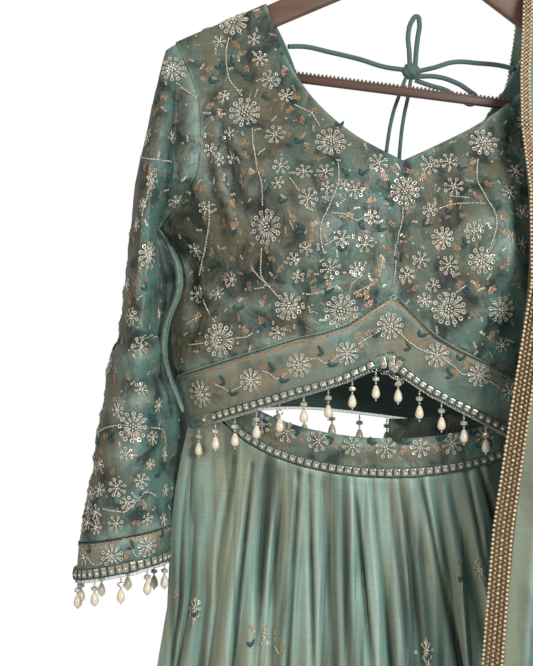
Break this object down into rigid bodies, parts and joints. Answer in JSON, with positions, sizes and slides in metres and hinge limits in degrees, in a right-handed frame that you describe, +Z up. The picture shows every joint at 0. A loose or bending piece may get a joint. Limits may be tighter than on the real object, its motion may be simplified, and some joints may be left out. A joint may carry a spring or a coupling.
{
  "type": "lehenga set on a clothes hanger",
  "caption": "Choli with pearl drops, pleated skirt and folded dupatta, held by a wooden clothes hanger with a bar.",
  "frame": {"origin": "the inside top of the hanger's hook, where a peg or rail carries the set", "axes": "+Z up, +Y to the back of the garment, +X to the right as seen from the front"},
  "size_m": [0.676, 0.2007, 1.5724],
  "materials": {
    "choli_silk": "two-tone woven silk",
    "band_silk": "embroidered silk",
    "silver_trim": "beaded tape",
    "dark_silk": "satin cord",
    "waist_silk": "embroidered silk",
    "skirt_silk": "two-tone woven silk",
    "dupatta_silk": "sheer woven silk",
    "gold_lace": "beaded lace",
    "pearl": "pearl and crystal beads",
    "hanger_wood": "stained and lacquered",
    "hook_wire": "polished wire"
  },
  "bodies": {
    "root": {"choli_front": "choli_silk", "choli_back": "choli_silk", "sleeve_left": "choli_silk", "sleeve_right": "choli_silk", "front_band": "band_silk", "back_band": "band_silk", "cuff_band_left": "band_silk", "cuff_band_right": "band_silk", "hem_trim_front": "silver_trim", "hem_trim_back": "silver_trim", "cuff_trim_left": "silver_trim", "cuff_trim_right": "silver_trim", "waist_trim": "silver_trim", "band_piping": "dark_silk", "tie_left": "dark_silk", "tie_right": "dark_silk", "tie_loop_up": "dark_silk", "tie_loop_right": "dark_silk", "tie_tail_left": "dark_silk", "tie_tail_right": "dark_silk", "tie_knot": "dark_silk", "hang_loop_left": "dark_silk", "hang_loop_right": "dark_silk", "waistband_front": "waist_silk", "waistband_back_left": "waist_silk", "waistband_back_right": "waist_silk", "skirt_front": "skirt_silk", "skirt_back_left": "skirt_silk", "skirt_back_right": "skirt_silk", "dupatta": "dupatta_silk", "dupatta_border_inner": "gold_lace", "dupatta_border_outer": "gold_lace", "hem_drops_front": "pearl", "hem_drops_back": "pearl", "cuff_drops_left": "pearl", "cuff_drops_right": "pearl", "hanger_arms": "hanger_wood", "hanger_bar": "hanger_wood", "hanger_hook": "hook_wire"}
  },
  "joints": []
}
